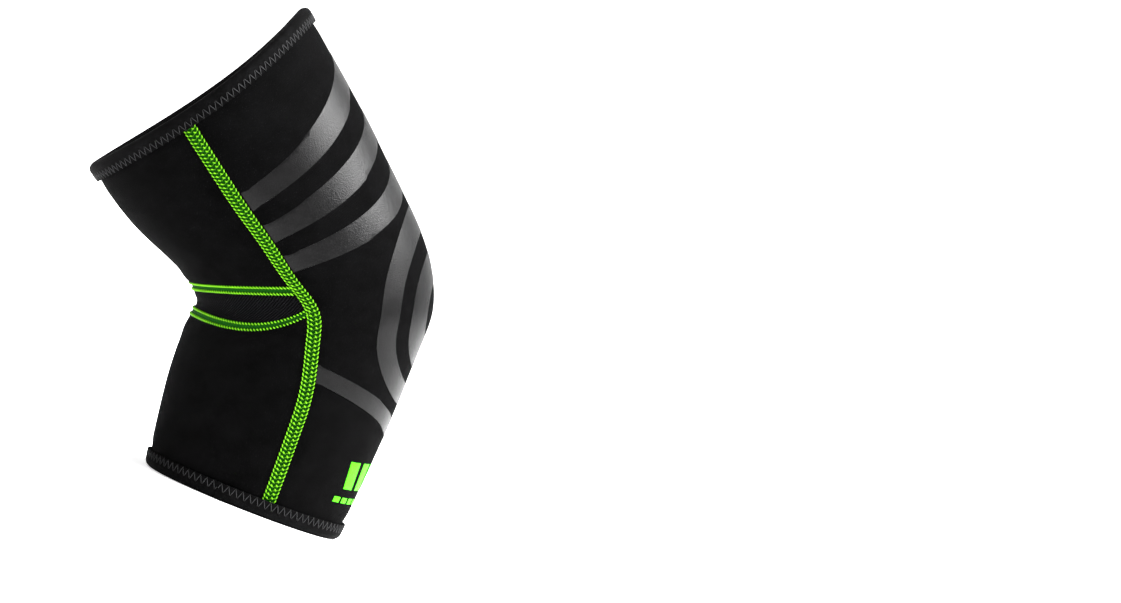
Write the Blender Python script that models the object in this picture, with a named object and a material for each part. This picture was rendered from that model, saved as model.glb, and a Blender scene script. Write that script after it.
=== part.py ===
"""A pre-curved neoprene elbow sleeve, standing on its forearm opening.

Frame: +Z up from the floor, the crease of the elbow towards -X, the back of the elbow
towards +X. The origin is on the floor under the middle of the bounding box.

Every piece is cut from one surface, surface_point(along, around, height):
    along   0 at the forearm rim to 1 at the upper-arm rim
    around  angle about the arm, 0 at the back of the elbow, 180 degrees at the crease,
            positive on the -Y side
    height  millimetres outwards from the outer face of the panels
"""
import math

import bpy
from mathutils import Vector

# ---- driving dimensions, millimetres and degrees ----
LOWER_RIM_CENTRE_X = 33.55
STATIONS = (
    # along, crease point (x, z), back point (x, z), half depth in y
    (0.0, (-43.6, 0.0), (43.6, 0.0), 42.5),
    (0.2, (-48.9, 32.0), (46.4, 44.0), 44.5),
    (0.4, (-50.8, 62.0), (46.9, 87.0), 46.5),
    (0.5, (-50.6, 74.2), (46.0, 108.0), 47.0),
    (0.6, (-60.0, 82.2), (37.5, 126.0), 47.5),
    (0.8, (-86.5, 93.8), (-2.0, 165.5), 50.0),
    (1.0, (-114.2, 110.6), (-53.2, 208.4), 52.5),
)
UPPER_RIM_DIP = 4.4          # the upper rim dips at both sides, as the cut of the panels gives
LEVEL_REGION = 0.05          # share of the length where the offset turns level at the floor
SIDE_LENGTH = 190.0          # millimetres from rim to rim down the middle of a side
BACK_LENGTH = 225.0          # the same over the back, about
MEAN_RADIUS = 48.0

FACE_THICK = 0.6             # outer jersey
CORE_THICK = 2.4             # neoprene foam
LINING_THICK = 0.5           # inner jersey
LAYER_GAP = 0.3
CUT_GAP = 0.45               # each panel stops this far from its seam line
INSERT_THICK = 1.6

SIDE_SEAM_ANGLES = ((0.0, 75.5), (0.28, 77.2), (0.45, 86.0), (0.6, 99.3), (1.0, 100.3))
SIDE_SEAM_WIDTH = 6.0
CREASE_SEAM_WIDTH = 4.6
THREAD_LIFT = 0.35
THREAD_THICK = 0.8

BINDING_WIDTH = 7.5
BINDING_THICK = 0.6
BINDING_LIFT = 0.35
BINDING_INNER_LIFT = 0.8     # clears the flat facets of the lining
BACK_COLUMNS = 16
CREASE_COLUMNS = 14
STITCH_WIDTH = 3.8
STITCH_THICK = 0.4

ELBOW_AXIS = Vector((0.0305, 0.0, 0.095))     # metres; the hinge runs along Y through it
SMOOTH_ANGLE = 40.0

MARK_ALONG = (0.075, 0.168)
MARK_HALF_ANGLE = 38.0

RING_STEPS = 48


# ---- the surface ----
def station_value(along, pick):
    """Smooth curve through one number of each station."""
    knots = [row[0] for row in STATIONS]
    values = [pick(row) for row in STATIONS]
    last = len(knots) - 1
    cell = max(0, min(last - 1, sum(1 for knot in knots[1:] if knot <= along)))
    slopes = [(values[i + 1] - values[i]) / (knots[i + 1] - knots[i]) for i in range(last)]

    def tangent(i):
        if i == 0 or i == last:
            return slopes[min(i, last - 1)]
        before = knots[i] - knots[i - 1]
        after = knots[i + 1] - knots[i]
        return (slopes[i] * before + slopes[i - 1] * after) / (before + after)

    span = knots[cell + 1] - knots[cell]
    share = (along - knots[cell]) / span
    start_weight = (1 + 2 * share) * (1 - share) ** 2
    start_slope = share * (1 - share) ** 2 * span
    end_weight = share * share * (3 - 2 * share)
    end_slope = share * share * (share - 1) * span
    return (start_weight * values[cell] + start_slope * tangent(cell)
            + end_weight * values[cell + 1] + end_slope * tangent(cell + 1))


def face_point(along, around):
    """Point of the panels' outer face, millimetres from the middle of the lower rim."""
    crease = Vector((station_value(along, lambda row: row[1][0]), 0,
                     station_value(along, lambda row: row[1][1])))
    back = Vector((station_value(along, lambda row: row[2][0]), 0,
                   station_value(along, lambda row: row[2][1])))
    half_depth = station_value(along, lambda row: row[3])
    middle = (crease + back) / 2
    return (middle + (back - crease) / 2 * math.cos(around)
            + Vector((0, -half_depth * math.sin(around), 0)))


def dipped(along, around):
    """The share along the sleeve, pulled back near the upper rim at both sides."""
    rise = max(0.0, (along - 0.6) / 0.4)
    return along - UPPER_RIM_DIP / BACK_LENGTH * rise * rise * math.sin(around) ** 2


def surface_point(along, around, height):
    """A point above the outer face, in metres in the part's frame."""
    step = 0.001
    share = dipped(along, around)
    point = face_point(share, around)
    lengthwise = face_point(share + step, around) - face_point(share - step, around)
    sideways = face_point(share, around + step) - face_point(share, around - step)
    normal = lengthwise.cross(sideways)
    normal.normalize()
    normal.z *= min(1.0, max(0.0, along / LEVEL_REGION))
    normal.normalize()
    point = point + normal * height + Vector((LOWER_RIM_CENTRE_X, 0, 0))
    return point * 0.001


def along_from_rim(rim, around, distance):
    """The share that lies some millimetres from the lower (0) or upper (1) rim."""
    step = 0.01
    inward = step if rim == 0 else -step
    speed = (face_point(dipped(rim + inward, around), around)
             - face_point(dipped(rim, around), around)).length
    return rim + inward * distance / speed


def side_seam_angle(along):
    """The side seam's angle from the back of the elbow, in radians."""
    for (low, low_angle), (high, high_angle) in zip(SIDE_SEAM_ANGLES, SIDE_SEAM_ANGLES[1:]):
        if along <= high:
            break
    share = min(1.0, max(0.0, (along - low) / (high - low)))
    return math.radians(low_angle + (high_angle - low_angle) * share)


# ---- lines that bound the panels: share along the sleeve for an angle around ----
def lower_edge(around):
    return along_from_rim(0, around, BINDING_THICK + LAYER_GAP)


def upper_edge(around):
    return along_from_rim(1, around, BINDING_THICK + LAYER_GAP)


def forearm_zone_end(around):
    return 0.315 + 0.065 * math.cos(around)


def upper_zone_start(around):
    return 0.685 - 0.065 * math.cos(around)


def crease_seam_low(around):
    from_crease = abs(math.pi - around) / math.radians(83)
    return 0.452 - 0.11 * from_crease ** 2 + 0.125 * from_crease ** 4


def crease_seam_high(around):
    return 0.546


def shifted(line, millimetres):
    """The same line, moved along the sleeve."""
    return lambda around: line(around) + millimetres / SIDE_LENGTH


# ---- solids ----
def new_material(name, colour, roughness):
    material = bpy.data.materials.new(name)
    material.use_nodes = True
    shader = material.node_tree.nodes["Principled BSDF"]
    shader.inputs["Base Color"].default_value = (*colour, 1.0)
    shader.inputs["Roughness"].default_value = roughness
    shader.inputs["Metallic"].default_value = 0.0
    return material


LOOKS = {
    "face": ((0.012, 0.012, 0.013), 0.85),
    "core": ((0.03, 0.03, 0.032), 0.95),
    "lining": ((0.018, 0.018, 0.02), 0.9),
    "insert": ((0.01, 0.01, 0.011), 0.9),
    "binding": ((0.025, 0.025, 0.027), 0.8),
    "stitch": ((0.02, 0.02, 0.02), 0.7),
    "thread": ((0.14, 0.62, 0.03), 0.55),
    "mark": ((0.3, 0.9, 0.03), 0.5),
}


def moving_parent():
    """The empty on the elbow's axis that the upper-arm half hangs from."""
    hinge = bpy.data.objects.get("elbow_hinge")
    if hinge is None:
        hinge = bpy.data.objects.new("elbow_hinge", None)
        hinge.location = ELBOW_AXIS
        bpy.context.scene.collection.objects.link(hinge)
    return hinge


def add_object(name, look, points, faces):
    moves = "upper" in name.split("_")
    origin = ELBOW_AXIS if moves else Vector((0, 0, 0))
    mesh = bpy.data.meshes.new(name)
    mesh.from_pydata([tuple(point - origin) for point in points], [], faces)
    mesh.validate()
    mesh.shade_smooth()
    mesh.set_sharp_from_angle(angle=math.radians(SMOOTH_ANGLE))
    mesh.materials.append(new_material(name + "_material", *LOOKS[look]))
    item = bpy.data.objects.new(name, mesh)
    if moves:
        item.parent = moving_parent()
    bpy.context.scene.collection.objects.link(item)


def slab(name, look, place, row_shares, columns, low, high):
    """A closed sheet between two heights; place(row share, column share) gives along, around."""
    rows = len(row_shares)
    column_shares = [column / columns for column in range(columns + 1)]
    spots = [place(row, column) for row in row_shares for column in column_shares]
    points = [surface_point(along, around, high) for along, around in spots]
    points += [surface_point(along, around, low) for along, around in spots]
    width = columns + 1
    under = rows * width

    def corner(row, column):
        return row * width + column

    faces = []
    for row in range(rows - 1):
        for column in range(columns):
            a, b = corner(row, column), corner(row, column + 1)
            c, d = corner(row + 1, column + 1), corner(row + 1, column)
            faces += [(c, b, a), (d, c, a), (under + a, under + b, under + c),
                      (under + a, under + c, under + d)]
    border = [corner(0, column) for column in range(columns)]
    border += [corner(row, columns) for row in range(rows - 1)]
    border += [corner(rows - 1, column) for column in range(columns, 0, -1)]
    border += [corner(row, 0) for row in range(rows - 1, 0, -1)]
    for a, b in zip(border, border[1:] + border[:1]):
        faces += [(a, b, under + a), (b, under + b, under + a)]
    add_object(name, look, points, faces)


def ring(name, look, rim, outline):
    """A closed ring swept around a rim; outline holds (distance from the rim, height) corners."""
    points = []
    for step in range(RING_STEPS):
        around = math.tau * step / RING_STEPS
        points += [surface_point(along_from_rim(rim, around, distance), around, height)
                   for distance, height in outline]
    count = len(outline)
    total = count * RING_STEPS
    faces = []
    for step in range(RING_STEPS):
        for corner in range(count):
            here = step * count + corner
            beside = step * count + (corner + 1) % count
            across = (here + count) % total
            across_beside = (beside + count) % total
            turned = (here, beside, across_beside), (here, across_beside, across)
            faces += turned if rim == 1 else [face[::-1] for face in turned]
    add_object(name, look, points, faces)


def between(around_start, around_end, along_start, along_end):
    """A place function for the area between two seam lines and two crossing lines."""
    def place(row, column):
        along = 0.5
        for _ in range(6):
            start, end = around_start(along), around_end(along)
            around = start + (end - start) * column
            low, high = along_start(around), along_end(around)
            along = low + (high - low) * row
        return along, around
    return place


def seam_margin(millimetres):
    """The angle that a width around the sleeve takes up."""
    return millimetres / MEAN_RADIUS


def even_rows(count):
    return [row / count for row in range(count + 1)]


# ---- the three panels and the crease insert ----
def back_area(along_start, along_end):
    margin = seam_margin(CUT_GAP)
    return between(lambda along: -side_seam_angle(along) + margin,
                   lambda along: side_seam_angle(along) - margin, along_start, along_end)


def crease_area(along_start, along_end):
    margin = seam_margin(CUT_GAP)
    return between(lambda along: side_seam_angle(along) + margin,
                   lambda along: math.tau - side_seam_angle(along) - margin,
                   along_start, along_end)


def laminate(name, place, row_shares, columns):
    """Outer jersey, foam core and inner jersey of one panel."""
    top = 0.0
    for layer, thickness in (("face", FACE_THICK), ("core", CORE_THICK), ("lining", LINING_THICK)):
        slab(name + "_" + layer, layer, place, row_shares, columns, top - thickness, top)
        top -= thickness + LAYER_GAP


def build_panels():
    zone_end = shifted(forearm_zone_end, -CUT_GAP)
    zone_after = shifted(forearm_zone_end, CUT_GAP)
    zone_before = shifted(upper_zone_start, -CUT_GAP)
    zone_start = shifted(upper_zone_start, CUT_GAP)
    laminate("back_panel_lower", back_area(lower_edge, zone_end), even_rows(4), BACK_COLUMNS)
    laminate("back_panel_elbow", back_area(zone_after, zone_before), even_rows(6), BACK_COLUMNS)
    laminate("back_panel_upper", back_area(zone_start, upper_edge), even_rows(5), BACK_COLUMNS)

    crease_below = shifted(crease_seam_low, -CUT_GAP)
    crease_above = shifted(crease_seam_high, CUT_GAP)
    laminate("forearm_panel_lower", crease_area(lower_edge, zone_end), even_rows(4), CREASE_COLUMNS)
    laminate("forearm_panel_elbow", crease_area(zone_after, crease_below),
             [0.0, 0.35, 0.65, 0.88, 1.0], CREASE_COLUMNS)
    laminate("biceps_panel_elbow", crease_area(crease_above, zone_before),
             [0.0, 0.12, 0.35, 0.65, 1.0], CREASE_COLUMNS)
    laminate("biceps_panel_upper", crease_area(zone_start, upper_edge), even_rows(4), CREASE_COLUMNS)

    insert = crease_area(shifted(crease_seam_low, CUT_GAP), shifted(crease_seam_high, -CUT_GAP))
    slab("crease_insert", "insert", insert, even_rows(4), CREASE_COLUMNS, -INSERT_THICK, 0.0)


# ---- flatlock seams ----
def side_seam(name, side, along_start, along_end, rows):
    half = seam_margin(SIDE_SEAM_WIDTH / 2)
    place = between(lambda along: side * side_seam_angle(along) - half,
                    lambda along: side * side_seam_angle(along) + half,
                    along_start, along_end)
    slab(name, "thread", place, even_rows(rows), 2, THREAD_LIFT, THREAD_LIFT + THREAD_THICK)


def crease_seam(name, line):
    """Runs around the crease from one side seam to the other."""
    margin = seam_margin(SIDE_SEAM_WIDTH / 2 + LAYER_GAP)
    place = between(lambda along: side_seam_angle(along) + margin,
                    lambda along: math.tau - side_seam_angle(along) - margin,
                    shifted(line, -CREASE_SEAM_WIDTH / 2), shifted(line, CREASE_SEAM_WIDTH / 2))
    slab(name, "thread", place, even_rows(2), 20, THREAD_LIFT, THREAD_LIFT + THREAD_THICK)


def build_seams():
    clear = BINDING_WIDTH + LAYER_GAP

    def start(around):
        return along_from_rim(0, around, clear)

    def end(around):
        return along_from_rim(1, around, clear)

    for side, word in ((1, "right"), (-1, "left")):
        side_seam(word + "_side_seam_lower", side, start, shifted(forearm_zone_end, -CUT_GAP), 8)
        side_seam(word + "_side_seam_elbow", side, shifted(forearm_zone_end, CUT_GAP),
                  shifted(upper_zone_start, -CUT_GAP), 12)
        side_seam(word + "_side_seam_upper", side, shifted(upper_zone_start, CUT_GAP), end, 8)
    crease_seam("crease_seam_low", crease_seam_low)
    crease_seam("crease_seam_high", crease_seam_high)


# ---- bindings folded over both rims ----
def build_binding(word, rim):
    wall = FACE_THICK + CORE_THICK + LINING_THICK + 2 * LAYER_GAP
    outside = BINDING_LIFT + BINDING_THICK
    inside = -wall - BINDING_INNER_LIFT - BINDING_THICK
    ring(word + "_binding", "binding", rim, [
        (0.0, outside), (0.0, inside),
        (BINDING_WIDTH, inside), (BINDING_WIDTH, inside + BINDING_THICK),
        (BINDING_THICK, inside + BINDING_THICK), (BINDING_THICK, BINDING_LIFT),
        (BINDING_WIDTH, BINDING_LIFT), (BINDING_WIDTH, outside),
    ])
    low, high = BINDING_WIDTH - STITCH_WIDTH, BINDING_WIDTH
    top = outside + LAYER_GAP + STITCH_THICK
    ring(word + "_binding_stitch", "stitch", rim, [
        (low, top), (low, outside + LAYER_GAP), (high, outside + LAYER_GAP), (high, top),
    ])


def build_mark():
    """The printed mark on the back of the forearm, as one plain film."""
    half = math.radians(MARK_HALF_ANGLE)
    place = between(lambda along: -half, lambda along: half,
                    lambda around: MARK_ALONG[0], lambda around: MARK_ALONG[1])
    slab("forearm_mark", "mark", place, even_rows(3), 8, LAYER_GAP, LAYER_GAP + 0.2)


for item in list(bpy.data.objects):
    bpy.data.objects.remove(item, do_unlink=True)
build_panels()
build_seams()
build_binding("lower", 0)
build_binding("upper", 1)
build_mark()
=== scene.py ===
"""The elbow sleeve's looks: panels, flatlock seams, taped rims, print, studio.

All pieces are laid out on one surface, the same that the CAD panels are cut from:
    along   0 at the forearm rim to 1 at the upper-arm rim
    around  radians about the arm, 0 at the back of the elbow, pi at the crease, + on the -Y side
    height  millimetres outwards from the outer face of the panels
"""
import math

import bpy
import numpy as np
from mathutils import Matrix, Vector, geometry


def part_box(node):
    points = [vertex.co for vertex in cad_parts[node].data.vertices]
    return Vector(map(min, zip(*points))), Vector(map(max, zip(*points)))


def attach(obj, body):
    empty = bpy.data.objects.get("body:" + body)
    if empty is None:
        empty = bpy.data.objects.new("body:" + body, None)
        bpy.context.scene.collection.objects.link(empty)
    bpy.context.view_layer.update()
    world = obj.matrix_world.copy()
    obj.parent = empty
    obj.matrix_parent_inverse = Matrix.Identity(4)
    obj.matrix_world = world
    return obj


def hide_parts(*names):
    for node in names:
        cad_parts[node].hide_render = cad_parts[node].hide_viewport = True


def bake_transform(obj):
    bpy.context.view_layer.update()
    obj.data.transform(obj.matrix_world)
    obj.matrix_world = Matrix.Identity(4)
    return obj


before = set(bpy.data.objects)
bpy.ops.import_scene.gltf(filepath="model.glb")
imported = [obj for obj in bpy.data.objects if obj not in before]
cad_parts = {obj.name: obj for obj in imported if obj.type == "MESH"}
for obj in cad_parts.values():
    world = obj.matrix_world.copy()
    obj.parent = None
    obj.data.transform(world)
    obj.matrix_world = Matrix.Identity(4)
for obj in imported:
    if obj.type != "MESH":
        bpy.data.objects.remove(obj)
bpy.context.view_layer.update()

# ---- the surface, millimetres from the middle of the forearm rim ----
RIM_LOW, RIM_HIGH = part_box("lower_binding")
RIM_CENTRE_X = (RIM_LOW[0] + RIM_HIGH[0]) / 2 * 1000
KNOTS = np.array([0.0, 0.2, 0.4, 0.5, 0.6, 0.8, 1.0])
STATIONS = np.array([
    # crease x, z; back x, z; half depth in y
    (-43.6, 0.0, 43.6, 0.0, 42.5),
    (-48.9, 32.0, 46.4, 44.0, 44.5),
    (-50.8, 62.0, 46.9, 87.0, 46.5),
    (-50.6, 74.2, 46.0, 108.0, 47.0),
    (-60.0, 82.2, 37.5, 126.0, 47.5),
    (-86.5, 93.8, -2.0, 165.5, 50.0),
    (-114.2, 110.6, -53.2, 208.4, 52.5),
])
FLAT_AROUND = 48.0           # millimetres of flat cloth for a radian around
FLAT_ALONG = 225.0           # millimetres of flat cloth for along = 1
UV_SCALE = (0.5, 2.25)       # decimetres for a radian around and for along = 1
UPPER_RIM_DIP = 4.4
LEVEL_REGION = 0.05
SEAM_KNOTS = (0.0, 0.28, 0.45, 0.6, 1.0)
SEAM_ANGLES = np.radians((75.5, 77.2, 86.0, 99.3, 100.3))

FACE_THICK = 0.6
CORE_THICK = 2.4
LINING_THICK = 0.5
LAYER_GAP = 0.3
WALL = FACE_THICK + CORE_THICK + LINING_THICK + 2 * LAYER_GAP

SIDE_SEAM_WIDTH = 6.0
CREASE_SEAM_WIDTH = 4.4
STITCH_PITCH = 1.9
TAPE_WIDTH = 7.5
TAPE_THICK = 0.6
ZIGZAG_PITCH = 3.1
CREASE_STITCH_PITCH = 1.5
BED_STEP = 1.2               # spacing of points along the bed of thread
SEAM_MARGIN = 0.3            # each panel stops this far short of its seam line
RIM_TUCK = 0.9               # and this far short of the rim, inside the tape's fold

FOREARM, UPPER_ARM = "forearm_half", "upper_arm_half"


def slopes_at_knots():
    cell = (STATIONS[1:] - STATIONS[:-1]) / (KNOTS[1:] - KNOTS[:-1])[:, None]
    tangent = np.empty_like(STATIONS)
    tangent[0], tangent[-1] = cell[0], cell[-1]
    before = (KNOTS[1:-1] - KNOTS[:-2])[:, None]
    after = (KNOTS[2:] - KNOTS[1:-1])[:, None]
    tangent[1:-1] = (cell[1:] * before + cell[:-1] * after) / (before + after)
    return tangent


KNOT_SLOPES = slopes_at_knots()


def station(along):
    """Smooth curve through the stations, as in the CAD model."""
    cell = np.clip(np.searchsorted(KNOTS, along, side="right") - 1, 0, len(KNOTS) - 2)
    span = (KNOTS[cell + 1] - KNOTS[cell])[..., None]
    share = (along - KNOTS[cell])[..., None] / span
    return ((1 + 2 * share) * (1 - share) ** 2 * STATIONS[cell]
            + share * (1 - share) ** 2 * span * KNOT_SLOPES[cell]
            + share ** 2 * (3 - 2 * share) * STATIONS[cell + 1]
            + share ** 2 * (share - 1) * span * KNOT_SLOPES[cell + 1])


def bare_point(along, around):
    rise = np.clip((along - 0.6) / 0.4, 0, None)
    row = station(along - UPPER_RIM_DIP / FLAT_ALONG * rise ** 2 * np.sin(around) ** 2)
    cosine = np.cos(around)
    x = (row[..., 0] + row[..., 2]) / 2 + (row[..., 2] - row[..., 0]) / 2 * cosine
    z = (row[..., 1] + row[..., 3]) / 2 + (row[..., 3] - row[..., 1]) / 2 * cosine
    return np.stack([x, -row[..., 4] * np.sin(around), z], -1)


def spread(along, around):
    """Both as arrays of one shape."""
    return np.broadcast_arrays(np.asarray(along, float), np.asarray(around, float))


def normal_at(along, around):
    step = 1e-3
    lengthwise = bare_point(along + step, around) - bare_point(along - step, around)
    sideways = bare_point(along, around + step) - bare_point(along, around - step)
    normal = np.cross(lengthwise, sideways)
    normal /= np.linalg.norm(normal, axis=-1, keepdims=True)
    normal[..., 2] *= np.clip(along / LEVEL_REGION, 0, 1)
    return normal / np.linalg.norm(normal, axis=-1, keepdims=True)


def surface(along, around, height):
    """Points in metres in the row frame."""
    along, around = spread(along, around)
    point = bare_point(along, around) + normal_at(along, around) * np.asarray(height)[..., None]
    point[..., 0] += RIM_CENTRE_X
    return point * 0.001


def mm_per_along(along, around):
    step = 0.005
    ahead, behind = np.clip(along + step, 0, 1), np.clip(along - step, 0, 1)
    run = bare_point(ahead, around) - bare_point(behind, around)
    return np.linalg.norm(run, axis=-1) / (ahead - behind)


def mm_per_radian(along, around):
    step = 0.01
    run = bare_point(along, around + step) - bare_point(along, around - step)
    return np.linalg.norm(run, axis=-1) / (2 * step)


def seam_angle(along):
    """The side seams' line, its corners eased."""
    shifts = np.linspace(-0.05, 0.05, 11)
    return sum(np.interp(along + shift, SEAM_KNOTS, SEAM_ANGLES) for shift in shifts) / len(shifts)


def wrapped(around):
    """The angle from the back of the elbow, 0 to pi, on either side."""
    turned = np.mod(around, math.tau)
    return np.minimum(turned, math.tau - turned)


def crease_low(around):
    share = np.abs(math.pi - wrapped(around)) / math.radians(83)
    return 0.457 - 0.11 * share ** 2 + 0.125 * share ** 4


def crease_high(around):
    return np.full_like(np.asarray(around, float), 0.551)


def rim_distance(along, around):
    """Millimetres from the nearer rim."""
    low = along * mm_per_along(np.zeros_like(along), around)
    high = (1 - along) * mm_per_along(np.ones_like(along), around)
    return np.minimum(low, high)


def smoothstep(low, high, value):
    share = np.clip((value - low) / (high - low), 0, 1)
    return share * share * (3 - 2 * share)


def relief(along, around):
    """How far the panels' outer face stands above or below the plain surface, millimetres."""
    along, around = spread(along, around)
    side = wrapped(around)
    from_side_seam = (side - seam_angle(along)) * FLAT_AROUND
    height = -0.55 * np.exp(-(from_side_seam / 3.4) ** 2)
    height += 0.22 * np.exp(-((np.abs(from_side_seam) - 8.0) / 4.0) ** 2)
    on_crease_side = smoothstep(0.0, 3.0, from_side_seam)
    for line in (crease_low, crease_high):
        away = (along - line(around)) * 150.0
        height -= 0.5 * on_crease_side * np.exp(-(away / 2.6) ** 2)
    near_rim = 1 - smoothstep(TAPE_WIDTH - 0.5, TAPE_WIDTH + 6.0, rim_distance(along, around))
    height -= 0.45 * near_rim
    unevenness = (np.sin(5.1 * side + 9.0 * along + 0.4) * np.sin(23.0 * along + 1.3 * side)
                  + 0.6 * np.sin(2.7 * around - 31.0 * along + 2.0)
                  + 0.5 * np.sin(9.3 * around + 12.0 * along))
    height += 0.10 * unevenness * (1 - near_rim)
    folds = np.exp(-((along - 0.5) / 0.10) ** 2) * smoothstep(1.9, 3.0, side)
    height += 0.30 * folds * np.sin((along - 0.5) * 92.0 + 0.7 * np.cos(3 * around))
    return height


# ---- mesh helpers ----
def add_mesh(name, points, faces, uvs=None):
    """points in metres; uvs holds one (x, y) for each point, in decimetres on cloth."""
    mesh = bpy.data.meshes.new(name)
    mesh.from_pydata(np.asarray(points).reshape(-1, 3).tolist(), [], faces)
    if uvs is not None:
        corner_point = np.empty(len(mesh.loops), dtype=np.int32)
        mesh.loops.foreach_get("vertex_index", corner_point)
        layer = mesh.uv_layers.new(name="cloth_mm")
        layer.data.foreach_set("uv", np.asarray(uvs, float).reshape(-1, 2)[corner_point].ravel())
    mesh.polygons.foreach_set("use_smooth", [True] * len(mesh.polygons))
    mesh.update()
    item = bpy.data.objects.new(name, mesh)
    bpy.context.scene.collection.objects.link(item)
    return item


def grid_faces(rows, columns, start=0, flip=False):
    """Quads of a rows x columns grid of points, rows running along, columns running around."""
    index = start + np.arange(rows * columns).reshape(rows, columns)
    quads = np.stack([index[:-1, :-1], index[1:, :-1], index[1:, 1:], index[:-1, 1:]], -1)
    quads = quads.reshape(-1, 4)
    return (quads[:, ::-1] if flip else quads).tolist()


def border_of(rows, columns):
    index = np.arange(rows * columns).reshape(rows, columns)
    return np.concatenate([index[0, :-1], index[:-1, -1], index[-1, :0:-1], index[:0:-1, 0]])


def cloth_uv(along, around):
    """Coordinates on the flat cloth, in decimetres."""
    return np.stack([around * UV_SCALE[0], along * UV_SCALE[1]], -1)


def slab(name, along, around, top, under):
    """A closed sheet of cloth over a grid; top and under are heights in millimetres."""
    rows, columns = along.shape
    points = np.concatenate([surface(along, around, top).reshape(-1, 3),
                             surface(along, around, under).reshape(-1, 3)])
    count = rows * columns
    faces = grid_faces(rows, columns, flip=True) + grid_faces(rows, columns, count)
    border = border_of(rows, columns)
    beside = np.roll(border, -1)
    faces += np.stack([border, border + count, beside + count, beside], -1)[:, ::-1].tolist()
    uv = cloth_uv(along, around).reshape(-1, 2)
    return add_mesh(name, points, faces, np.concatenate([uv, uv]))


def tube(points, normals, radius, sides=6):
    """Points and faces of a closed round thread along points; normals keep it from twisting."""
    points = np.asarray(points)
    tangent = np.gradient(points, axis=0)
    tangent /= np.linalg.norm(tangent, axis=1, keepdims=True)
    across = np.cross(tangent, normals)
    across /= np.linalg.norm(across, axis=1, keepdims=True)
    up = np.cross(across, tangent)
    angle = np.arange(sides) * math.tau / sides
    ring = (across[:, None] * np.cos(angle)[None, :, None]
            + up[:, None] * np.sin(angle)[None, :, None])
    skin = points[:, None] + ring * radius
    count = len(points)
    index = np.arange(count * sides).reshape(count, sides)
    beside = np.roll(index, -1, axis=1)
    quads = np.stack([index[:-1], index[1:], beside[1:], beside[:-1]], -1).reshape(-1, 4).tolist()
    caps = [index[0].tolist(), index[-1][::-1].tolist()]
    return skin.reshape(-1, 3), quads + caps


def join_tubes(name, tubes):
    """One mesh of (points, faces, crown light) tubes; uv x holds painted light, 0 painted shade deep in the
    cloth, 1 painted highlight on top.
    """
    points, faces, crown_lights, start = [], [], [], 0
    for (skin, quads), crown_light in tubes:
        points.append(skin)
        crown_lights.append(np.repeat(crown_light, len(skin) // len(crown_light)))
        faces += [[corner + start for corner in quad] for quad in quads]
        start += len(skin)
    crown_light = np.concatenate(crown_lights)
    return add_mesh(name, np.concatenate(points), faces, np.stack([crown_light, 0 * crown_light], -1))


def flat_cloth(piece, along, around, height, under=()):
    """Works out where a sheet of cloth lies on the form; the points are not used further."""
    points = surface(along, around, height)


def bends(piece):
    """Bakes the piece's placement into its mesh."""
    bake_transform(piece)


# ---- materials ----
class Nodes:
    """Short calls for building one material's nodes."""

    def __init__(self, name):
        self.material = bpy.data.materials.new(name)
        self.material.use_nodes = True
        self.tree = self.material.node_tree
        self.shader = self.tree.nodes["Principled BSDF"]

    def value(self, socket, source):
        if isinstance(source, bpy.types.NodeSocket):
            self.tree.links.new(source, socket)
        elif source is not None:
            socket.default_value = source

    def node(self, kind, inputs=(), **settings):
        node = self.tree.nodes.new(kind)
        for key, setting in settings.items():
            setattr(node, key, setting)
        for key, source in dict(inputs).items():
            self.value(node.inputs[key], source)
        return node

    def math(self, operation, a, b=None, c=None):
        node = self.node("ShaderNodeMath", operation=operation)
        for socket, source in zip(node.inputs, (a, b, c)):
            self.value(socket, source)
        return node.outputs[0]

    def noise(self, vector, scale, detail=3.0, roughness=0.6):
        return self.node("ShaderNodeTexNoise", {
            "Vector": vector, "Scale": scale, "Detail": detail, "Roughness": roughness,
        }).outputs["Fac"]

    def ramp(self, factor, stops):
        node = self.node("ShaderNodeValToRGB", {"Fac": factor})
        elements = node.color_ramp.elements
        while len(elements) < len(stops):
            elements.new(0.5)
        for element, (place, colour) in zip(elements, stops):
            element.position = place
            element.color = colour if len(colour) == 4 else (*colour, 1.0)
        return node.outputs["Color"]

    def set(self, **sockets):
        for key, source in sockets.items():
            self.value(self.shader.inputs[key.replace("_", " ")], source)

    def bump(self, height, distance, strength=1.0, normal=None):
        inputs = {"Height": height, "Distance": distance, "Strength": strength}
        if normal is not None:
            inputs["Normal"] = normal
        return self.node("ShaderNodeBump", inputs).outputs["Normal"]


def cloth_coordinates(n):
    """(uv vector in millimetres, x, y)."""
    uv = n.node("ShaderNodeUVMap", uv_map="cloth_mm").outputs["UV"]
    scaled = n.node("ShaderNodeVectorMath", operation="SCALE")
    n.value(scaled.inputs[0], uv)
    scaled.inputs["Scale"].default_value = 100.0
    split = n.node("ShaderNodeSeparateXYZ", {"Vector": scaled.outputs[0]})
    return scaled.outputs[0], split.outputs["X"], split.outputs["Y"]


def knit_height(n, x, y, pitch):
    """Small knitted loops: columns that lean left and right in turn."""
    column = n.math("SINE", n.math("MULTIPLY", x, math.tau / pitch))
    lean = n.math("MULTIPLY", n.math("ABSOLUTE", n.math("SINE", n.math("MULTIPLY", x, math.pi / pitch))), 0.8)
    row = n.math("SINE", n.math("MULTIPLY", n.math("ADD", y, lean), math.tau / (pitch * 0.8)))
    return n.math("ADD", n.math("MULTIPLY", column, 0.5), n.math("MULTIPLY", row, 0.5))


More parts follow.
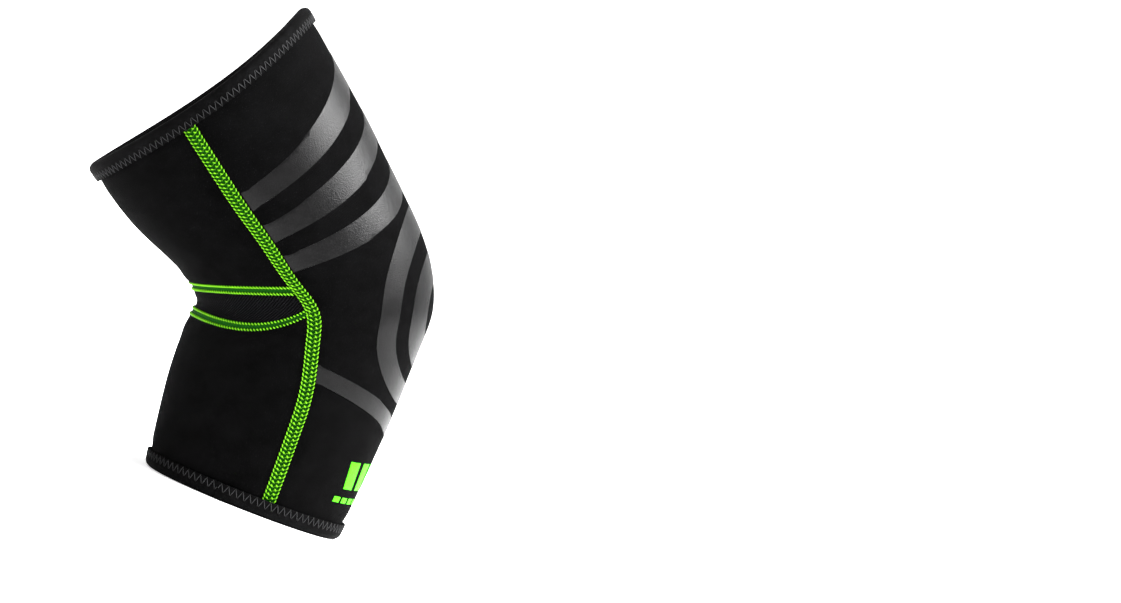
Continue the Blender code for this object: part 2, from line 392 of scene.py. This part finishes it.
def knit_material(name, dark, light, pitch=0.62, roughness=0.82, ior=1.06, sheen=0.001,
                  bump=0.00006):
    n = Nodes(name)
    vector, x, y = cloth_coordinates(n)
    loops = knit_height(n, x, y, pitch)
    patches = n.noise(vector, 0.09, 4.0)
    fuzz = n.noise(vector, 2.2, 3.0, 0.7)
    mix = n.math("ADD", n.math("MULTIPLY", patches, 0.6), n.math("MULTIPLY", fuzz, 0.55))
    n.set(Base_Color=n.ramp(mix, [(0.35, dark), (0.8, light)]),
          Roughness=n.math("ADD", n.math("MULTIPLY", fuzz, 0.12), roughness - 0.06))
    n.shader.inputs["IOR"].default_value = ior
    n.shader.inputs["Sheen Weight"].default_value = sheen
    n.shader.inputs["Sheen Roughness"].default_value = 0.5
    coarse = n.bump(patches, 0.0004, 0.25)
    n.set(Normal=n.bump(n.math("ADD", loops, n.math("MULTIPLY", fuzz, 1.2)), bump, 1.0, coarse))
    return n.material


def thread_material(name, dark, light, roughness=0.45, twist=900.0, ior=1.3):
    n = Nodes(name)
    place = n.node("ShaderNodeTexCoord").outputs["Object"]
    crown_light = n.node("ShaderNodeSeparateXYZ", {
        "Vector": n.node("ShaderNodeUVMap", uv_map="cloth_mm").outputs["UV"]}).outputs["X"]
    # Painted light: the crown value darkens the thread where it lies deep (painted shade) and lightens it on
    # top (painted highlight); the noise adds random tone.
    tone_and_painted_light = n.math("ADD", n.math("MULTIPLY", crown_light, 0.8), n.math("MULTIPLY", n.noise(place, 260.0, 2.0), 0.3))
    fibre = n.node("ShaderNodeTexWave", {
        "Vector": place, "Scale": twist, "Distortion": 6.0, "Detail": 1.0}).outputs["Fac"]
    n.set(Base_Color=n.ramp(tone_and_painted_light, [(0.3, dark), (1.0, light)]), Roughness=roughness)
    n.shader.inputs["IOR"].default_value = ior
    n.set(Normal=n.bump(fibre, 0.00005, 0.5))
    return n.material


def ink_material(name, dark, light, roughness, ior):
    """Transfer print: a satin skin with a fine leathery grain."""
    n = Nodes(name)
    vector = cloth_coordinates(n)[0]
    grain = n.node("ShaderNodeTexVoronoi", {"Vector": vector, "Scale": 1.9, "Randomness": 1.0},
                   feature="SMOOTH_F1").outputs["Distance"]
    fine = n.noise(vector, 3.6, 3.0, 0.65)
    patches = n.noise(vector, 0.12, 3.0)
    mix = n.math("ADD", n.math("MULTIPLY", fine, 0.5), n.math("MULTIPLY", patches, 0.5))
    n.set(Base_Color=n.ramp(mix, [(0.35, dark), (0.65, light)]),
          Roughness=n.math("ADD", n.math("MULTIPLY", patches, 0.12), roughness - 0.06))
    n.shader.inputs["IOR"].default_value = ior
    height = n.math("ADD", n.math("MULTIPLY", grain, 0.9), n.math("MULTIPLY", fine, 1.1))
    n.set(Normal=n.bump(height, 0.0001, 1.0))
    return n.material


def rib_material(name):
    """Fine diagonal ribs; the grooves between them are painted darker as shade."""
    n = Nodes(name)
    vector, x, y = cloth_coordinates(n)
    slant = n.math("ADD", n.math("MULTIPLY", x, 0.85), n.math("MULTIPLY", y, 0.5))
    wobble = n.math("MULTIPLY", n.noise(vector, 0.5, 2.0), 1.2)
    rib = n.math("SINE", n.math("MULTIPLY", n.math("ADD", slant, wobble), math.tau / 1.25))
    fuzz = n.noise(vector, 2.5, 3.0)
    # The rib wave darkens the grooves (painted shade); the fuzz adds random tone.
    tone_and_painted_light = n.math("ADD", n.math("MULTIPLY", rib, 0.28), n.math("MULTIPLY", fuzz, 1.0))
    n.set(Base_Color=n.ramp(tone_and_painted_light, [(0.2, (0.0006, 0.0006, 0.0006)), (0.85, (0.0045, 0.0045, 0.005))]),
          Roughness=0.8)
    n.shader.inputs["IOR"].default_value = 1.05
    n.set(Normal=n.bump(n.math("ADD", rib, fuzz), 0.00022, 1.0))
    return n.material


def foam_material(name):
    n = Nodes(name)
    vector = cloth_coordinates(n)[0]
    cells = n.node("ShaderNodeTexVoronoi", {"Vector": vector, "Scale": 2.5}).outputs["Distance"]
    n.set(Base_Color=n.ramp(cells, [(0.1, (0.012, 0.012, 0.013)), (0.7, (0.03, 0.03, 0.032))]),
          Roughness=0.95, Normal=n.bump(cells, 0.0001))
    return n.material


def tape_material(name):
    """Woven stretch tape with a row of needle holes; uv x runs round the rim, y across the tape."""
    n = Nodes(name)
    vector, x, y = cloth_coordinates(n)
    weave = n.math("MULTIPLY", n.math("SINE", n.math("MULTIPLY", x, math.tau / 0.55)),
                   n.math("SINE", n.math("MULTIPLY", y, math.tau / 0.5)))
    fuzz = n.noise(vector, 1.8, 4.0, 0.7)
    patches = n.noise(vector, 0.15, 2.0)
    cycle = n.math("SUBTRACT", n.math("FRACT", n.math("DIVIDE", x, ZIGZAG_PITCH)), 0.5)
    sideways = n.math("POWER", n.math("MULTIPLY", cycle, ZIGZAG_PITCH / 0.42), 2.0)
    lengthwise = n.math("POWER", n.math("DIVIDE", n.math("SUBTRACT", y, 3.7), 0.34), 2.0)
    hole = n.math("SUBTRACT", 1.0, n.math("MINIMUM", n.math("ADD", sideways, lengthwise), 1.0))
    # The needle holes are painted darker, as painted shade in the holes; fuzz and patches add random tone.
    tone_and_painted_light = n.math("SUBTRACT", n.math("ADD", n.math("MULTIPLY", fuzz, 0.5),
                                      n.math("MULTIPLY", patches, 0.5)),
                   n.math("MULTIPLY", hole, 0.6))
    n.set(Base_Color=n.ramp(tone_and_painted_light, [(0.1, (0.0004, 0.0004, 0.0004)), (0.4, (0.001, 0.001, 0.001)),
                                    (0.7, (0.003, 0.003, 0.0032))]), Roughness=0.75)
    n.shader.inputs["IOR"].default_value = 1.06
    height = n.math("ADD", n.math("MULTIPLY", weave, 0.35), fuzz)
    height = n.math("SUBTRACT", height, n.math("MULTIPLY", hole, 5.0))
    n.set(Normal=n.bump(height, 0.0001, 1.0))
    return n.material


MATERIALS = {
    "jersey": knit_material("black_jersey", (0.0004, 0.0004, 0.0004), (0.0018, 0.0018, 0.0019),
                            roughness=0.9),
    "lining": knit_material("lining_jersey", (0.004, 0.004, 0.0045), (0.010, 0.010, 0.011),
                            pitch=0.8, bump=0.0001, ior=1.1),
    "foam": foam_material("neoprene_foam"),
    "rib": rib_material("crease_rib"),
    "tape": tape_material("binding_tape"),
    "black_thread": thread_material("black_thread", (0.004, 0.004, 0.004), (0.016, 0.016, 0.017),
                                    ior=1.2),
    "lime_thread": thread_material("lime_thread", (0.003, 0.03, 0.0008), (0.12, 0.38, 0.006), ior=1.15),
    # A darker copy of the lime thread for the bed between the stitches: painted shade.
    "shaded_lime_under": thread_material("shaded_lime_under", (0.0008, 0.014, 0.0004), (0.002, 0.035, 0.001), 0.8,
                                  ior=1.05),
    "ink": ink_material("grey_ink", (0.0006, 0.0006, 0.0006), (0.0028, 0.0028, 0.0029), 0.34, 1.18),
    "mark_ink": ink_material("lime_ink", (0.038, 0.42, 0.003), (0.052, 0.50, 0.004), 0.5, 1.12),
}


def paint(piece, *names):
    for name in names:
        piece.data.materials.append(MATERIALS[name])


# ---- panels ----
def area_grid(start, end, low, high, rows, columns):
    """Grid of (along, around) between two seam lines and two crossing lines."""
    row = np.linspace(0, 1, rows)[:, None] * np.ones((1, columns))
    column = np.linspace(0, 1, columns)[None, :] * np.ones((rows, 1))
    along = 0.5 * np.ones((rows, columns))
    for _ in range(8):
        around = start(along) + (end(along) - start(along)) * column
        along = low(around) + (high(around) - low(around)) * row
    return along, around


def from_rim(rim, distance):
    """A line at a distance in millimetres from the lower (0) or upper (1) rim."""
    def line(around):
        speed = mm_per_along(np.full_like(around, rim, dtype=float), around)
        return distance / speed if rim == 0 else 1 - distance / speed
    return line


def offset_line(line, distance):
    """A crossing line moved along by millimetres."""
    def moved(around):
        along = line(around)
        return along + distance / mm_per_along(along, around)
    return moved


def back_edges(margin):
    shift = margin / FLAT_AROUND
    return (lambda along: -seam_angle(along) + shift, lambda along: seam_angle(along) - shift)


def crease_edges(margin):
    shift = margin / FLAT_AROUND
    return (lambda along: seam_angle(along) + shift,
            lambda along: math.tau - seam_angle(along) - shift)


def laminate(name, nodes, edges, low, high, rows, columns):
    """A panel's outer jersey, foam and inner jersey, each one sheet from end to end."""
    along, around = area_grid(*edges, low, high, rows, columns)
    raised = relief(along, around)
    sheets = (
        ("outer_jersey", "face", "jersey", raised, raised - FACE_THICK),
        ("foam", "core", "foam", raised - FACE_THICK - LAYER_GAP / 2,
         np.full_like(raised, -WALL + LINING_THICK + LAYER_GAP / 2)),
        ("inner_jersey", "lining", "lining", np.full_like(raised, -WALL + LINING_THICK),
         np.full_like(raised, -WALL)),
    )
    shown = {}
    for word, layer, look, top, under in sheets:
        step = 1 if layer != "core" else 3
        pick_rows = np.unique(np.append(np.arange(0, rows, step), rows - 1))
        pick_columns = np.unique(np.append(np.arange(0, columns, step), columns - 1))
        pick = np.ix_(pick_rows, pick_columns)
        piece = slab(f"{name}_{word}", along[pick], around[pick], top[pick], under[pick])
        paint(piece, look)
        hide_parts(*[f"{node}_{layer}" for node in nodes])
        bends(piece)
        shown[layer] = piece, along[pick], around[pick], (top[pick] + under[pick]) / 2
    foam = shown.pop("core")[0]
    for cloth in shown.values():
        flat_cloth(*cloth, under=[foam])


def build_panels():
    rim_low, rim_high = from_rim(0, RIM_TUCK), from_rim(1, RIM_TUCK)
    margin = SEAM_MARGIN
    laminate("back_panel", ("back_panel_lower", "back_panel_elbow", "back_panel_upper"),
             back_edges(margin), rim_low, rim_high, 150, 110)
    laminate("forearm_panel", ("forearm_panel_lower", "forearm_panel_elbow"),
             crease_edges(margin), rim_low, offset_line(crease_low, -margin), 60, 90)
    laminate("biceps_panel", ("biceps_panel_elbow", "biceps_panel_upper"),
             crease_edges(margin), offset_line(crease_high, margin), rim_high, 60, 90)

    along, around = area_grid(*crease_edges(margin), offset_line(crease_low, margin),
                              offset_line(crease_high, -margin), 24, 140)
    insert = slab("crease_rib_insert", along, around, relief(along, around) - 0.35,
                  np.full_like(along, -1.6))
    paint(insert, "rib")
    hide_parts("crease_insert")
    flat_cloth(insert, along, around, relief(along, around) - 1.0)
    bends(insert)


# ---- flatlock seams ----
def even_path(along, around, step):
    """The same line at even steps in millimetres: (distance, along, around)."""
    points = bare_point(along, around)
    run = np.concatenate([[0], np.cumsum(np.linalg.norm(np.diff(points, axis=0), axis=1))])
    distance = np.arange(0, run[-1], step)
    return distance, np.interp(distance, run, along), np.interp(distance, run, around)


def thread(path, across, offset, height, radius, sides=5):
    """A thread beside a path; across says whether offset runs 'around' or 'along'."""
    _, along, around = path
    if across == "around":
        place = along, around + offset / mm_per_radian(along, around)
    else:
        place = along + offset / mm_per_along(along, around), around
    points = surface(*place, relief(*place) + height)
    # Painted light: the thread's colour runs from painted shade where it dips into the cloth to a painted
    # highlight where it stands highest.
    crown_light = np.clip((height + 0.05) / 0.5, 0, 1) * np.ones(len(points))
    return tube(points, normal_at(*place), radius * 0.001, sides), crown_light


def zigzag(turns):
    """Straight swings between -1 and 1, one whole swing for each turn."""
    return 2 / math.pi * np.arcsin(np.sin(math.tau * turns))


def side_stitches(line, width, pitch):
    """Loops along both edges, two rows of short stitches, and threads laced to and fro between them."""
    path = even_path(*line, pitch / 14)
    turns = path[0] / pitch
    half = width / 2 - 0.3
    tubes = []
    for side in (-1, 1):
        shifted = turns + 0.13 * side
        bead = np.abs(np.sin(math.pi * shifted))
        lean = (shifted % 1.0 - 0.5) * 0.6 * side
        tubes.append(thread(path, "around", side * half + lean, 0.75 * bead ** 0.8 - 0.3, 0.27))
        lace = side * (half * 0.5 + half * 0.5 * zigzag(shifted))
        tubes.append(thread(path, "around", lace, 0.14 + 0.14 * np.cos(math.tau * shifted), 0.17))
        wave = np.sin(math.tau * (shifted + 0.2))
        tubes.append(thread(path, "around", side * half * 0.42 + 0.5 * zigzag(shifted),
                            0.75 * np.clip(wave, -0.9, 1.0) - 0.2, 0.3))
    return tubes


def crease_stitches(line, width, pitch):
    """Two cords of slanted stitches with a groove between them."""
    path = even_path(*line, pitch / 12)
    turns = path[0] / pitch
    tubes = []
    for side in (-1, 1):
        shifted = turns + 0.25 * side
        middle = side * (width / 2 - 0.8)
        slant = (shifted % 1.0 - 0.5) * 1.3
        height = 0.85 * np.abs(np.sin(math.pi * shifted)) ** 0.9 - 0.35
        tubes.append(thread(path, "along", middle + slant, height, 0.3))
    tubes.append(thread(path, "along", (width / 2 - 1.1) * zigzag(turns), 0.0 * turns, 0.13))
    return tubes


def under_strip(name, line, across, width):
    """The bed of thread between the stitches, in a darker copy of the lime thread: painted shade."""
    _, along, around = even_path(*line, BED_STEP)
    shares = np.linspace(-0.5, 0.5, 7) * (width - 0.5)
    if across == "around":
        grid_along = along[:, None] * np.ones((1, 7))
        grid_around = around[:, None] + shares / mm_per_radian(along, around)[:, None]
    else:
        grid_around = around[:, None] * np.ones((1, 7))
        grid_along = along[:, None] + shares / mm_per_along(along, around)[:, None]
    top = relief(grid_along, grid_around)
    piece = slab(name, grid_along, grid_around, top + 0.06, top + 0.02)
    paint(piece, "shaded_lime_under")
    return piece


def finish_seam(name, nodes, line, across, width, tubes):
    stitches = join_tubes(name, tubes)
    paint(stitches, "lime_thread")
    bed = under_strip(name + "_bed", line, across, width)
    for piece in (stitches, bed):
        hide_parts(*nodes)
        bends(piece)


def build_seams():
    for side, word in ((1, "right"), (-1, "left")):
        along = np.linspace(0, 1, 400)
        around = side * seam_angle(along)
        inside = rim_distance(along, around) > TAPE_WIDTH - 0.8
        nodes = [f"{word}_side_seam_{zone}" for zone in ("lower", "elbow", "upper")]
        line = along[inside], around[inside]
        finish_seam(f"{word}_side_flatlock", nodes, line, "around", SIDE_SEAM_WIDTH,
                    side_stitches(line, SIDE_SEAM_WIDTH, STITCH_PITCH))
    for word, cut in (("low", crease_low), ("high", crease_high)):
        middle = float(cut(np.array(math.radians(97))))
        start = float(seam_angle(middle)) + (SIDE_SEAM_WIDTH / 2 - 0.5) / FLAT_AROUND
        around = np.linspace(start, math.tau - start, 400)
        line = cut(around), around
        finish_seam(f"crease_{word}_flatlock", [f"crease_seam_{word}"], line, "along",
                    CREASE_SEAM_WIDTH, crease_stitches(line, CREASE_SEAM_WIDTH, CREASE_STITCH_PITCH))


# ---- print on the back panel; millimetres across from the back line and up from the forearm rim ----
FILM_LIFT = 0.13
ELBOW_CENTRE = (0, 112)
RING_RADII = (46, 36, 28, 14)            # ink and gap in turn, from the outside in
UPPER_CHEVRONS = (174, 192, 210)         # places of their points on the back line
LOWER_CHEVRON = 58
UPPER_THICK, LOWER_THICK = 10, 9
CHEVRON_DROP = 32
CHEVRON_REACH = 90                       # past the seams, where the film is cut off
BAR_LOW, BAR_HIGH, BAR_WIDTH, BAR_LEAN = 24, 37, 8, 3
DASH_LOW, DASH_HIGH, DASH_WIDTH = 17.4, 20, 5
FILM_GRAIN = 2.0             # spacing of the film's inner points
TOP_EDGE_LENGTH = 250.0      # millimetres for along = 1 near the upper rim


def closed(joined):
    """The closed line without doubled points, anticlockwise."""
    joined = joined[np.linalg.norm(joined - np.roll(joined, 1, axis=0), axis=1) > 0.05]
    x, y = joined.T
    anticlockwise = np.dot(x, np.roll(y, -1)) > np.dot(y, np.roll(x, -1))
    return joined if anticlockwise else joined[::-1]


def disc(centre, radius):
    angle = np.linspace(0, math.tau, 60, endpoint=False)
    return closed(np.stack([centre[0] + radius * np.cos(angle), centre[1] + radius * np.sin(angle)], -1))


def chevron(apex, thick, drop):
    """A bent stripe from seam to seam, its point on the back line; it falls by drop on either side."""
    reach, end = CHEVRON_REACH, apex - drop
    return closed(np.array([(-reach, end), (0, apex), (reach, end),
                            (reach, end - thick), (0, apex - thick), (-reach, end - thick)]))


def print_layers():
    """(outline, whether it is ink), the later ones lying over the earlier."""
    layers = [(disc(ELBOW_CENTRE, radius), turn % 2 == 0) for turn, radius in enumerate(RING_RADII)]
    layers += [(chevron(apex, UPPER_THICK, CHEVRON_DROP), True) for apex in UPPER_CHEVRONS]
    layers.append((chevron(LOWER_CHEVRON, LOWER_THICK, -CHEVRON_DROP), True))
    return layers


def triangulate(loose, shapes):
    """(points, triangles, the shapes that each triangle lies in)."""
    points, faces = [Vector(p) for p in loose], []
    for shape in shapes:
        start = len(points)
        points += [Vector(p) for p in shape]
        faces.append(list(range(start, start + len(shape))))
    flat, _, triangles, _, _, inside = geometry.delaunay_2d_cdt(points, [], faces, 0, 1e-4)
    return np.array([p[:] for p in flat]), triangles, inside


def open_edges(triangles):
    edges = {pair for tri in triangles for pair in zip(tri, tri[1:] + tri[:1])}
    return {a: b for a, b in edges if (b, a) not in edges}


def ink_borders(layers):
    """The borders, each a closed line, of the ink that shows, clear of seams and bindings."""
    clear = TAPE_WIDTH + 0.5
    along = np.linspace(clear / FLAT_ALONG, 1 - clear / TOP_EDGE_LENGTH, 110)
    edge = seam_angle(along) * FLAT_AROUND - SIDE_SEAM_WIDTH / 2 - 0.2
    right = np.stack([edge, along * FLAT_ALONG], -1)
    window = closed(np.concatenate([right, (right * (-1, 1))[::-1]]))
    flat, triangles, inside = triangulate([], [window, *[shape for shape, _ in layers]])
    is_ink = [False] + [ink for _, ink in layers]
    onward = open_edges([tri for tri, shapes in zip(triangles, inside)
                         if 0 in shapes and is_ink[max(shapes)]])
    borders = []
    while onward:
        here, line = next(iter(onward)), []
        while here in onward:
            line.append(here)
            here = onward.pop(here)
        borders.append(closed(flat[line]))
    return [border for border in borders if len(border) > 3]


def film(name, layers, look):
    """Thin printed film lying on the back panel."""
    borders = ink_borders(layers)
    every = np.concatenate(borders)
    low, high = every.min(axis=0), every.max(axis=0)
    x, y = np.meshgrid(np.arange(low[0], high[0], FILM_GRAIN),
                       np.arange(low[1], high[1], FILM_GRAIN * 0.87))
    x[1::2] += FILM_GRAIN / 2
    loose = np.stack([x, y], -1).reshape(-1, 2)
    near = np.array([np.min(np.hypot(*(every - p).T)) for p in loose])
    flat, triangles, inside = triangulate(loose[near > FILM_GRAIN * 0.55], borders)
    top = [list(tri) for tri, shapes in zip(triangles, inside) if len(shapes) % 2]
    used = sorted({corner for tri in top for corner in tri})
    renumber = {old: new for new, old in enumerate(used)}
    flat = flat[used]
    top = [[renumber[corner] for corner in tri] for tri in top]
    count = len(flat)
    under = [[corner + count for corner in reversed(tri)] for tri in top]
    sides = [[b, a, a + count, b + count] for a, b in open_edges(top).items()]
    along, around = flat[:, 1] / FLAT_ALONG, flat[:, 0] / FLAT_AROUND
    raised = relief(along, around)
    points = np.concatenate([surface(along, around, raised + FILM_LIFT),
                             surface(along, around, raised + 0.02)])
    uv = cloth_uv(along, around)
    faces = [face[::-1] for face in top + under + sides]
    piece = add_mesh(name, points, faces, np.concatenate([uv, uv]))
    piece.data.set_sharp_from_angle(angle=math.radians(40))
    paint(piece, look)
    return piece


def build_print():
    """Plain rings round the elbow and chevrons across the arm."""
    pattern = film("grey_print", print_layers(), "ink")
    bends(pattern)


def slanted(place, low, high, width, lean):
    """A bar from low to high whose top stands lean to the right of its foot."""
    half, shift = width / 2, lean / 2
    return closed(np.array([(place - half - shift, low), (place + half - shift, low),
                            (place + half + shift, high), (place - half + shift, high)]))


def build_mark():
    """A plain row of slanted bars over a row of dashes."""
    bars = [slanted(place, BAR_LOW, BAR_HIGH, BAR_WIDTH, BAR_LEAN) for place in range(-24, 25, 12)]
    dashes = [slanted(place, DASH_LOW, DASH_HIGH, DASH_WIDTH, 0) for place in range(-28, 29, 7)]
    mark = film("green_mark", [(shape, True) for shape in bars + dashes], "mark_ink")
    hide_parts("forearm_mark")
    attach(mark, FOREARM)


# ---- bindings ----
def tape_profile():
    """(distance from the rim, height) of the folded tape's outer skin, from outside to inside."""
    middle = -WALL / 2
    reach = WALL / 2 + 1.15
    legs = np.linspace(TAPE_WIDTH, 3.0, 9)
    outside = [(d, 0.95 + 0.30 * math.exp(-((d - 3.0) / 1.6) ** 2)) for d in legs]
    fold = []
    for angle in np.linspace(0, math.pi, 15)[1:-1]:
        fold.append((2.9 - 2.9 * math.sin(angle) ** 0.8, middle + reach * math.cos(angle)))
    inside = [(d, 2 * middle - h) for d, h in reversed(outside)]
    return np.array(outside + fold + inside)


def binding(word, rim, joint_angle):
    """Stretch tape folded over the rim; its end laps over its start at joint_angle."""
    profile = tape_profile()
    inner = profile.copy()
    middle = -WALL / 2
    inner[:, 1] = middle + (profile[:, 1] - middle) * (1 - TAPE_THICK / (WALL / 2 + 1.1))
    inner[:, 0] = profile[:, 0] + TAPE_THICK * (profile[:, 0] < 3.0) * 0.9
    lap = 0.16
    around = joint_angle + np.linspace(0, math.tau + lap, 420)
    tail = smoothstep(math.tau - 0.05, math.tau + 0.02, around - joint_angle)
    speed = mm_per_along(np.full_like(around, float(rim)), around)
    radius = mm_per_radian(np.full_like(around, float(rim)), around)
    run = np.concatenate([[0], np.cumsum((radius[1:] + radius[:-1]) / 2 * np.diff(around))])
    pull = 0.14 * np.cos(math.tau * run / ZIGZAG_PITCH)
    section = np.concatenate([profile, inner[::-1]])
    grid_points, grid_uv = [], []
    for distance, height in section:
        far = distance + pull * (distance > TAPE_WIDTH - 0.1)
        lifted = height + np.sign(height - middle) * (tail * 0.62)
        share = far / speed
        along = share if rim == 0 else 1 - share
        near_stitch = math.exp(-((distance - 6.0) / 1.5) ** 2)
        squeeze = -0.1 * np.cos(math.tau * run / ZIGZAG_PITCH) * near_stitch
        side = 1.0 if height > middle else -1.0
        grid_points.append(surface(along, around, lifted + side * squeeze))
        grid_uv.append(np.stack([run * 0.01, np.full_like(run, distance * 0.01)], -1))
    points = np.stack(grid_points)
    if rim == 0:
        points[..., 2] = np.maximum(points[..., 2], 0.0)
    uv = np.stack(grid_uv)
    rows, columns = points.shape[:2]
    index = np.arange(rows * columns).reshape(rows, columns)
    below = np.roll(index, -1, axis=0)
    quads = np.stack([index[:, :-1], below[:, :-1], below[:, 1:], index[:, 1:]], -1)
    quads = quads.reshape(-1, 4)
    if rim == 1:
        quads = quads[:, ::-1]
    caps = [index[:, 0].tolist(), index[::-1, -1].tolist()]
    if rim == 1:
        caps = [cap[::-1] for cap in caps]
    piece = add_mesh(f"{word}_binding_tape", points, quads.tolist() + caps, uv)
    paint(piece, "tape")
    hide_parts(f"{word}_binding")
    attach(piece, FOREARM if rim == 0 else UPPER_ARM)

    distance = np.arange(0, run[-1] - 0.4, ZIGZAG_PITCH / 10)
    angle = np.interp(distance, run, around)
    swing = 2 / math.pi * np.arcsin(np.sin(math.tau * (distance / ZIGZAG_PITCH - 0.25) + math.pi))
    from_edge = 5.55 + 1.95 * swing
    share = from_edge / mm_per_along(np.full_like(angle, float(rim)), angle)
    along = share if rim == 0 else 1 - share
    height = 1.02 + 0.16 * (1 - swing ** 2) + np.interp(angle, around, tail) * 0.62
    points = surface(along, angle, height)
    # The zigzag's crown light paints the thread lighter mid-swing, where it stands highest, and darker at its
    # ends: painted highlight and painted shade.
    stitch = join_tubes(f"{word}_binding_zigzag",
                        [(tube(points, normal_at(along, angle), 0.00017, 5), 1 - swing ** 2)])
    paint(stitch, "black_thread")
    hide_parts(f"{word}_binding_stitch")
    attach(stitch, FOREARM if rim == 0 else UPPER_ARM)


# ---- studio ----
ROLL = math.radians(21.7)        # the sleeve leans this far in the picture
LIFT = math.radians(3.0)         # the camera looks down this much
PICTURE_WIDTH = 0.482            # metres across the picture at the sleeve
CAMERA_DISTANCE = 6.0
AIM_FROM_RIM = Vector((0.0957, 0.0, 0.1311))


def build_camera():
    right = Vector((math.cos(ROLL), 0, math.sin(ROLL)))
    level_up = Vector((-math.sin(ROLL), 0, math.cos(ROLL)))
    back = Vector((0, -1, 0)) * math.cos(LIFT) + level_up * math.sin(LIFT)
    up = back.cross(right)
    data = bpy.data.cameras.new("camera")
    data.sensor_width = 36.0
    data.lens = 36.0 * CAMERA_DISTANCE / PICTURE_WIDTH
    data.clip_end = 50.0
    camera = bpy.data.objects.new("camera", data)
    aim = AIM_FROM_RIM + Vector((RIM_CENTRE_X * 0.001, 0, 0))
    camera.matrix_world = Matrix.Translation(aim + back * CAMERA_DISTANCE) @ Matrix(
        (right, up, back)).transposed().to_4x4()
    bpy.context.scene.collection.objects.link(camera)
    bpy.context.scene.camera = camera


def plain_material(name, colour):
    n = Nodes(name)
    n.set(Roughness=0.9)
    n.shader.inputs["Base Color"].default_value = (*colour, 1.0)
    n.shader.inputs["IOR"].default_value = 1.0
    n.shader.inputs["Emission Color"].default_value = (1.0, 1.0, 1.0, 1.0)
    n.shader.inputs["Emission Strength"].default_value = 0.42
    return n.material


def build_stage():
    """A pale floor that sweeps up into round walls on every side."""
    radius, corner, wall = 9.0, 3.0, 8.0
    profile = [(0.0, 0.0), (1.0, 0.0), (3.0, 0.0), (radius - corner, 0.0)]
    profile += [(radius - corner + corner * math.sin(a), corner - corner * math.cos(a))
                for a in np.linspace(0, math.pi / 2, 14)[1:]]
    profile += [(radius, wall)]
    steps = 96
    angle = np.arange(steps) * math.tau / steps
    points = [[0.0, 0.0, 0.0]]
    for r, z in profile[1:]:
        points += np.stack([r * np.cos(angle), r * np.sin(angle), np.full(steps, z)], -1).tolist()
    faces = [[0, 1 + i, 1 + (i + 1) % steps] for i in range(steps)]
    for ring in range(len(profile) - 2):
        low, high = 1 + ring * steps, 1 + (ring + 1) * steps
        faces += [[low + i, high + i, high + (i + 1) % steps, low + (i + 1) % steps]
                  for i in range(steps)]
    floor = add_mesh("studio_sweep", points, faces)
    floor.data.materials.append(plain_material("studio_white", (0.92, 0.92, 0.92)))


def add_light(name, place, size, power, target=(0, 0, 0.1)):
    data = bpy.data.lights.new(name, "AREA")
    data.shape = "RECTANGLE"
    data.size, data.size_y = size
    data.energy = power
    light = bpy.data.objects.new(name, data)
    light.location = place
    light.rotation_euler = (Vector(target) - Vector(place)).to_track_quat("-Z", "Y").to_euler()
    bpy.context.scene.collection.objects.link(light)


def build_light():
    world = bpy.data.worlds.new("studio")
    world.use_nodes = True
    background = world.node_tree.nodes["Background"]
    background.inputs["Color"].default_value = (1, 1, 1, 1)
    background.inputs["Strength"].default_value = 0.72
    bpy.context.scene.world = world
    add_light("key", (1.05, -0.05, 1.8), (0.9, 0.9), 290)
    bpy.context.scene.view_settings.view_transform = "Standard"


build_camera()
build_panels()
build_seams()
binding("lower", 0, math.radians(96))
binding("upper", 1, math.radians(-122))
build_print()
build_mark()
build_stage()
build_light()
